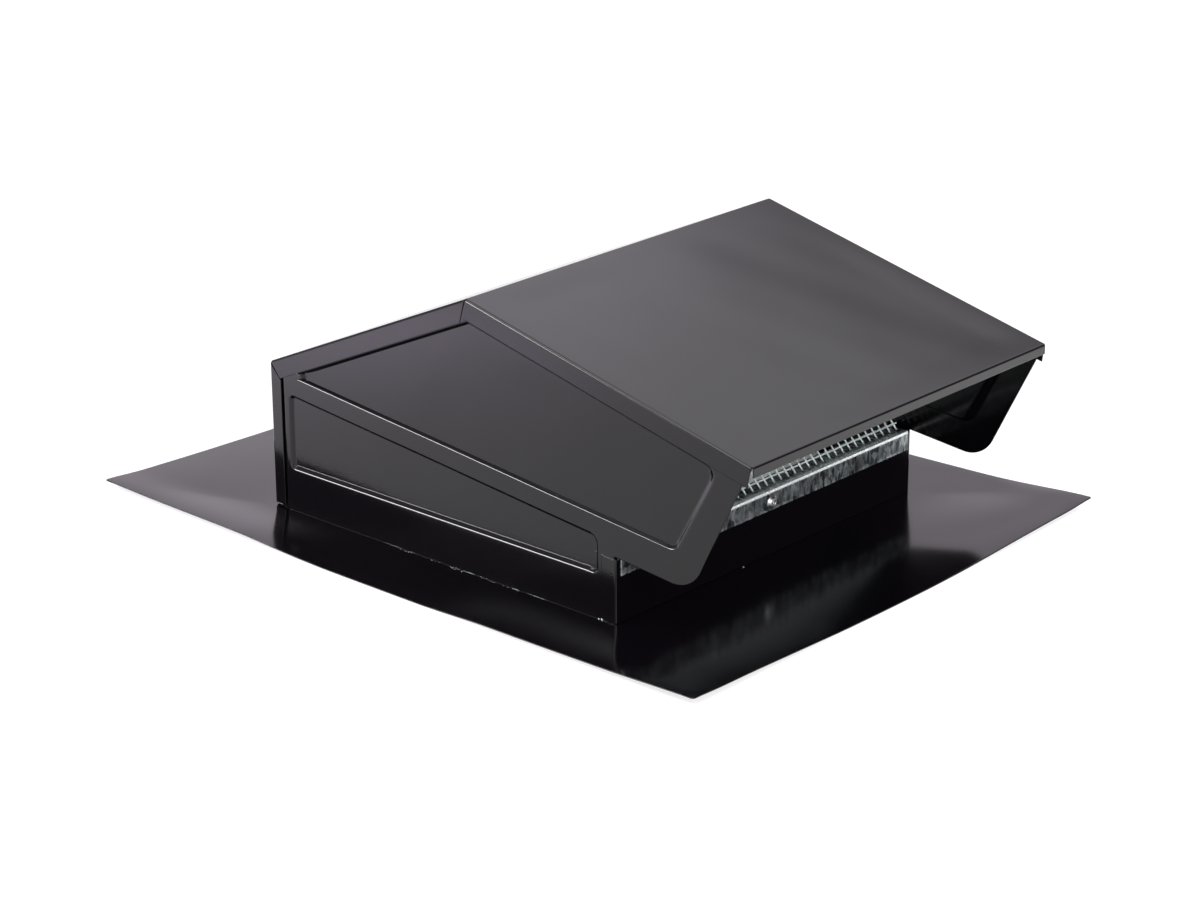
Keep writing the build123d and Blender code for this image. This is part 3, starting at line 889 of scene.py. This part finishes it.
# Blind rivet: a profile turned about its axis, a domed head with the hole that the broken pin leaves
rivet = {
    "place": (0.0, -134.1, 32.55),
    "sides": 40,
    # radius and place along the axis, from the hole round the head to the far end
    "profile": [(0.0, -0.5), (0.8, -0.5), (1.05, -0.75), (1.15, -1.3), (1.3, -1.8), (1.7, -1.97),
                (2.3, -1.85), (2.9, -1.5), (3.3, -1.0), (3.55, -0.62), (3.85, -0.5), (4.12, -0.36),
                (4.2, -0.12), (4.15, 0.04), (1.6, 0.05), (1.6, 1.2), (2.2, 1.25), (2.2, 3.7), (0.0, 3.7)],
}
radius, along = np.array(rivet["profile"]).T[:, :, None]
angle = np.linspace(0, 2 * math.pi, rivet["sides"], endpoint=False)
along = np.repeat(along, rivet["sides"], axis=1)
turned = np.stack([radius * np.cos(angle), along, radius * np.sin(angle)], axis=-1)
points = (turned + np.array(rivet["place"])).reshape(-1, 3)
railRivet = makeMesh("rivet_turned", points, ringFaces(*turned.shape[:2])[:, ::-1], rivetAluminium)
stand(railRivet, "cap", "rivet_aluminium", "rail_rivet")
print("rivet made")

# Specks of bare metal along the left seam at the flange: small flattened domes in uneven rows
specks = {
    "x": -131.1,
    "z": 0.56,
    "span": (-86.0, 34.0),
    "clumps": 7,
    "clumpSpread": 3.5,
    "strayOut": 0.8,       # how far they stray from the wall
    "count": 46,
    "length": (0.25, 1.1),
    "height": (0.1, 0.4),
    "width": (0.12, 0.22),     # least half width, and what chance adds
    # place along the seam and length of the streaks
    "streaks": ((36.0, 14.0), (20.0, 5.0), (-24.0, 9.0), (-60.0, 6.0), (-76.0, 16.0)),
    "streakHeight": 0.16,
    # place along the seam, half length and height of the two blobs near the front corner
    "blobs": ((-123.6, 1.0, 0.9), (-121.5, 0.8, 0.7)),
    "blobOut": 0.2,
    "frontPlace": (-24.0, 0.4),    # one more at the front wall: place across and distance from the wall
    "frontSize": (0.8, 0.5, 0.8),
    "seed": 33,
    "rings": 5,
    "sides": 10,
    "topTilt": 0.02,       # angle of the smallest ring of a dome
}
rng = np.random.default_rng(specks["seed"])
tilt, spin = np.meshgrid(np.linspace(specks["topTilt"], math.pi / 2, specks["rings"]),
                         np.linspace(0, 2 * math.pi, specks["sides"], endpoint=False), indexing="ij")
dome = np.stack([np.sin(tilt) * np.cos(spin), np.sin(tilt) * np.sin(spin), np.cos(tilt)], axis=-1)
dome = dome.reshape(-1, 3)
domeFaces = ringFaces(specks["rings"], specks["sides"])
seamX, seamZ = specks["x"], specks["z"]
spots = [(seamX - specks["blobOut"], *blob) for blob in specks["blobs"]]
spots += [(seamX, y, length / 2, specks["streakHeight"]) for y, length in specks["streaks"]]
clumps = rng.uniform(*specks["span"], specks["clumps"])
for _ in range(specks["count"]):
    y = rng.choice(clumps) + rng.normal(0, specks["clumpSpread"])
    x = seamX - abs(rng.normal(0, specks["strayOut"]))
    halfLength = rng.uniform(*specks["length"]) / 2
    spots.append((x, y, halfLength, rng.uniform(*specks["height"])))
leastWidth, addedWidth = specks["width"]
flecks = []
for x, y, halfLength, height in spots:
    halfWidth = leastWidth + addedWidth * rng.random()
    flecks.append((dome * [halfWidth, halfLength, height] + [x, y, seamZ], domeFaces))
frontX, frontOut = specks["frontPlace"]
flecks.append((dome * specks["frontSize"] + [frontX, frontY - frontOut, seamZ], domeFaces))
seamSpecks = makeMesh("seam_specks", *joined(flecks), galvanisedSteel)
stand(seamSpecks, "cap", "galvanised_steel")
print("specks made")

# Finishes of the pieces that keep the CAD model's shape
finishes = {
    "damper_flap": dullZinc,
    "left_hinge_bracket": dullZinc,
    "right_hinge_bracket": dullZinc,
    "hinge_rod": brightSteel,
    "rod_clips": brightSteel,
}
for name, material in finishes.items():
    nodes[name].data.materials.clear()
    nodes[name].data.materials.append(material)
print("finishes set")

# White floor: it glows where the camera or a mirror sees it, and takes the object's shadow
studio = {
    "floorSize": 20.0,     # in metres
    "floorZ": -0.05,       # in millimetres
    "floorColour": "#9a9a9a",
    "floorRoughness": 0.9,
    "floorGlow": 0.68,
    "room": (0.49, 0.46, 0.51),
}
floorMaterial, tree, shader = newMaterial("studio_floor", {
    "Base Color": srgb(studio["floorColour"]),
    "Roughness": studio["floorRoughness"],
    "Specular IOR Level": 0.0,
    "Emission Color": srgb("#ffffff"),
})
rays = addNode(tree, "ShaderNodeLightPath").outputs
seen = mathOf(tree, "MAXIMUM", rays["Is Camera Ray"], rays["Is Glossy Ray"])
seen = mathOf(tree, "MAXIMUM", seen, rays["Is Transmission Ray"])
glow = addNode(tree, "ShaderNodeMath", {"operation": "MULTIPLY", 1: studio["floorGlow"]}, {0: seen})
tree.links.new(glow.outputs[0], shader.inputs["Emission Strength"])
half = studio["floorSize"] / 2 / mm
floorPoints = [(x * half, y * half, studio["floorZ"]) for x, y in ((-1, -1), (1, -1), (1, 1), (-1, 1))]
floor = makeMesh("floor", floorPoints, [(0, 1, 2, 3)], floorMaterial, smooth=False)

# World: a dim room with a few soft lights and dark cards, each a round zone of the sky with a soft edge
zones = [
    # azimuth from +Y towards +X, elevation, inner and outer angle, level, colour
    (62.0, 62.0, 28.8, 31.0, 0.94, "#ffffff"),      # overhead box, mirrored in the front slope
    (42.0, 10.0, 17.0, 24.0, 0.75, "#fff3ff"),      # rear wall, mirrored in the flange
    (55.5, 31.5, 1.0, 5.5, 0.75, "#f0e0ff"),        # small purple haze, mirrored along the ridge
    (-50.0, 7.0, 5.5, 9.5, 40.0, "#ffffff"),        # low left rear box, mirrored in the pressed edges
    (-60.0, 56.0, 8.0, 14.0, 9.0, "#ffffff"),       # high left box, mirrored in the hood's left fold
    (205.0, 20.0, 10.0, 18.0, 12.0, "#ffffff"),     # front box, lights the screen and the flap behind it
    (132.0, 22.0, 12.0, 22.0, -0.33, "#ffffff"),    # dark card, mirrored by the flange in the front wall
    (-48.0, 22.0, 3.0, 8.0, -0.33, "#ffffff"),      # dark card, mirrored by the flange in the left wall
    (53.0, 20.8, 0.6, 3.4, -0.36, "#fff0ff"),       # dark card, mirrored by the flange at the right wall
    (-120.0, 45.0, 25.0, 50.0, 1.0, "#ffffff"),     # left front
]


def direction(azimuth, elevation):
    # A vector of length 1 from degrees: azimuth from +Y towards +X
    azimuth, elevation = math.radians(azimuth), math.radians(elevation)
    level = math.cos(elevation)
    return math.sin(azimuth) * level, math.cos(azimuth) * level, math.sin(elevation)


world = bpy.data.worlds.new("studio")
world.use_nodes = True
scene.world = world
tree = world.node_tree
gaze = addNode(tree, "ShaderNodeTexCoord").outputs["Generated"]
total = None
for azimuth, elevation, innerAngle, outerAngle, level, colour in zones:
    middleSets = {"operation": "DOT_PRODUCT", 1: direction(azimuth, elevation)}
    towards = addNode(tree, "ShaderNodeVectorMath", middleSets, {0: gaze})
    edge = [math.cos(math.radians(angle)) for angle in (outerAngle, innerAngle)]
    mask = mapSpan(tree, towards.outputs["Value"], edge, (0.0, level), "SMOOTHSTEP")
    glowSets = {"operation": "SCALE", 0: srgb(colour)[:3]}
    glow = addNode(tree, "ShaderNodeVectorMath", glowSets, {"Scale": mask})
    added = addNode(tree, "ShaderNodeVectorMath", {"operation": "ADD"}, {1: glow.outputs[0]})
    if total is None:
        added.inputs[0].default_value = studio["room"]
    else:
        tree.links.new(total, added.inputs[0])
    total = added.outputs[0]
tree.links.new(total, tree.nodes["Background"].inputs["Color"])

# Area lamps that shine down
lamps = [
    # name, place in metres, energy, size, colour, and the rays that don't see it
    # One overhead keeps the floor white
    ("overhead", (0, 0, 3.0), 9.0, (3.0, 3.0), "#ffffff", ()),
    # Daylight that comes up the duct, spread inside the hood: a soft lamp above the flap
    ("inside_fill", (0, -0.065, 0.09), 0.13, (0.24, 0.03), "#ffffff", ("visible_camera", "visible_glossy")),
    # Pools on the floor, behind on the left for the hood's laps and at the front right for its lip to mirror
    ("rear_pool", (-0.45, 0.36, 0.17), 3.0, (0.25, 0.25), "#f2deff", ("visible_glossy",)),
    ("front_pool", (0.3, -0.42, 0.22), 1.9, (0.25, 0.25), "#ffffff", ("visible_glossy",)),
]
for name, place, energy, size, colour, unseen in lamps:
    lamp = bpy.data.objects.new(name, bpy.data.lights.new(name, "AREA"))
    lamp.data.shape = "RECTANGLE"
    lamp.data.size, lamp.data.size_y = size
    lamp.data.energy = energy
    lamp.data.color = srgb(colour)[:3]
    lamp.location = place
    for rayKind in unseen:
        setattr(lamp, rayKind, False)
    scene.collection.objects.link(lamp)

# Camera fitted to the photograph's edges, in millimetres and degrees
view = {
    "place": (-1284.22, -1156.48, 680.39),
    "azimuth": -131.88,
    "elevation": 20.61,
    "roll": -0.2,
    "lens": 94.31,
    "sensor": 36.0,
    "farEnd": 100.0,       # in metres
}
back = np.array(direction(view["azimuth"], view["elevation"]))
beside = unit(np.cross([0, 0, 1], back))
over = np.cross(back, beside)
cosine, sine = math.cos(math.radians(view["roll"])), math.sin(math.radians(view["roll"]))
right, up = cosine * beside + sine * over, cosine * over - sine * beside
camera = bpy.data.objects.new("camera", bpy.data.cameras.new("camera"))
camera.data.lens = view["lens"]
camera.data.sensor_width = view["sensor"]
camera.data.clip_end = view["farEnd"]
stance = np.eye(4)
stance[:3] = np.column_stack([right, up, back, np.array(view["place"]) * mm])
camera.matrix_world = Matrix(stance.tolist())
scene.collection.objects.link(camera)
scene.camera = camera
scene.view_settings.view_transform = "Standard"
print("studio made")
